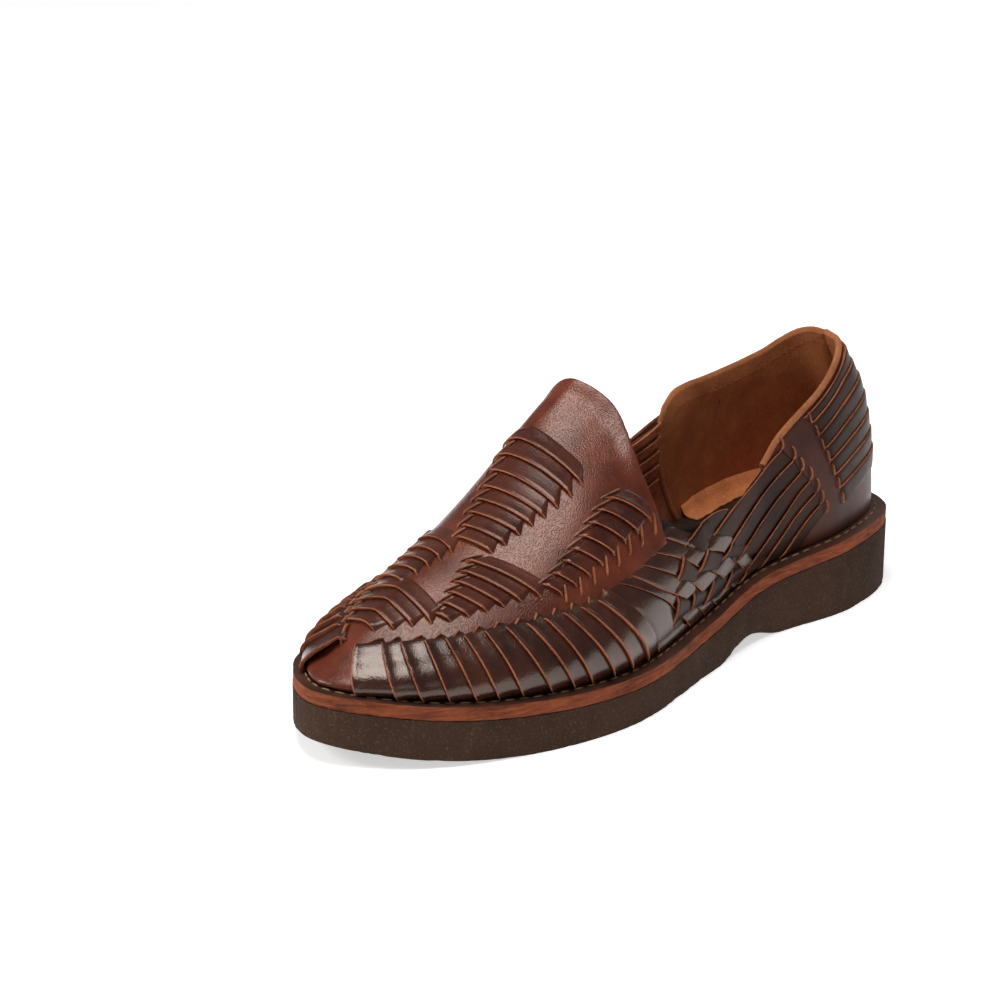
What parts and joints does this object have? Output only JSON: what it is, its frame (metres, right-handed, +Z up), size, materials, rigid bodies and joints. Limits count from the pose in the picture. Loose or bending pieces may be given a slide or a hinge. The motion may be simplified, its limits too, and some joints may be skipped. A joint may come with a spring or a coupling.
{
  "type": "huarache sandal",
  "caption": "Left closed-toe huarache: a woven leather slip-on upper with a tongue, on a leather midsole and a foam rubber outsole with a carved arch.",
  "frame": {"origin": "on the ground under the middle of the shoe's length and breadth", "axes": "-Y from heel to toe, +X to the outer (lateral) side of this left shoe, +Z up"},
  "size_m": [0.1071, 0.3, 0.1133],
  "materials": {
    "outsole_foam": "matt dark brown microcellular foam rubber, lightly speckled",
    "midsole_leather": "rough cut edge of a red-brown leather midsole",
    "insole_leather": "tan suede insole",
    "upper_leather": "waxed glossy dark brown woven leather straps"
  },
  "bodies": {
    "root": {"outsole": "outsole_foam", "midsole": "midsole_leather", "insole": "insole_leather", "upper": "upper_leather"}
  },
  "joints": []
}
